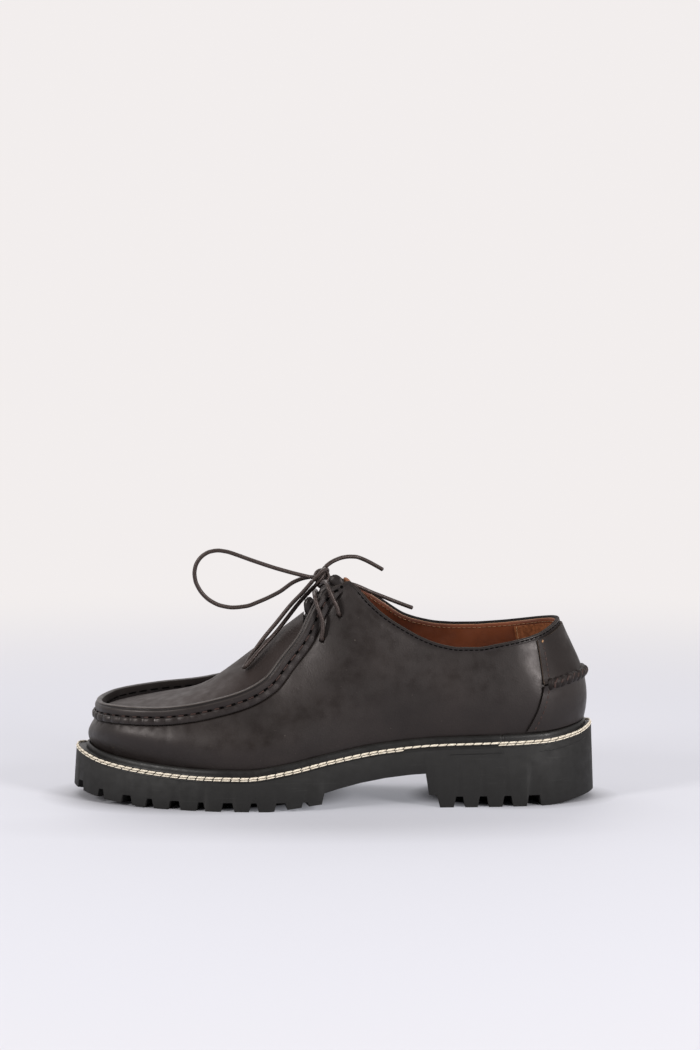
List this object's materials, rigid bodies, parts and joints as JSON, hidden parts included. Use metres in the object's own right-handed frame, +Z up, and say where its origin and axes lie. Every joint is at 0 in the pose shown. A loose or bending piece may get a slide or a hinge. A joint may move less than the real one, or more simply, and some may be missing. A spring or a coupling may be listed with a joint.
{
  "type": "lace-up moccasin shoe",
  "caption": "Left lace-up moccasin in dark leather with a raised apron seam, open collar, storm welt, lugged rubber sole and a tied lace.",
  "frame": {"origin": "on the floor, under the centre of the shoe's bounding box without the free lace", "axes": "+X from toe to heel, +Y towards the inner (medial) side, +Z up"},
  "size_m": [0.3024, 0.1099, 0.1447],
  "materials": {
    "sole_rubber": "matte moulded",
    "upper_leather": "smooth waxed, soft sheen",
    "lining_leather": "smooth tan",
    "lace_cord": "round waxed cord"
  },
  "bodies": {
    "root": {"outsole": "sole_rubber", "welt": "sole_rubber", "upper": "upper_leather", "heel_panel_lower": "upper_leather", "heel_panel_upper": "upper_leather", "tongue": "upper_leather", "insole": "lining_leather", "lace_crossing_lower": "lace_cord", "lace_crossing_upper": "lace_cord", "lace_knot": "lace_cord", "lace_loop_front": "lace_cord", "lace_loop_side": "lace_cord", "lace_end_up": "lace_cord", "lace_end_back": "lace_cord"}
  },
  "joints": []
}
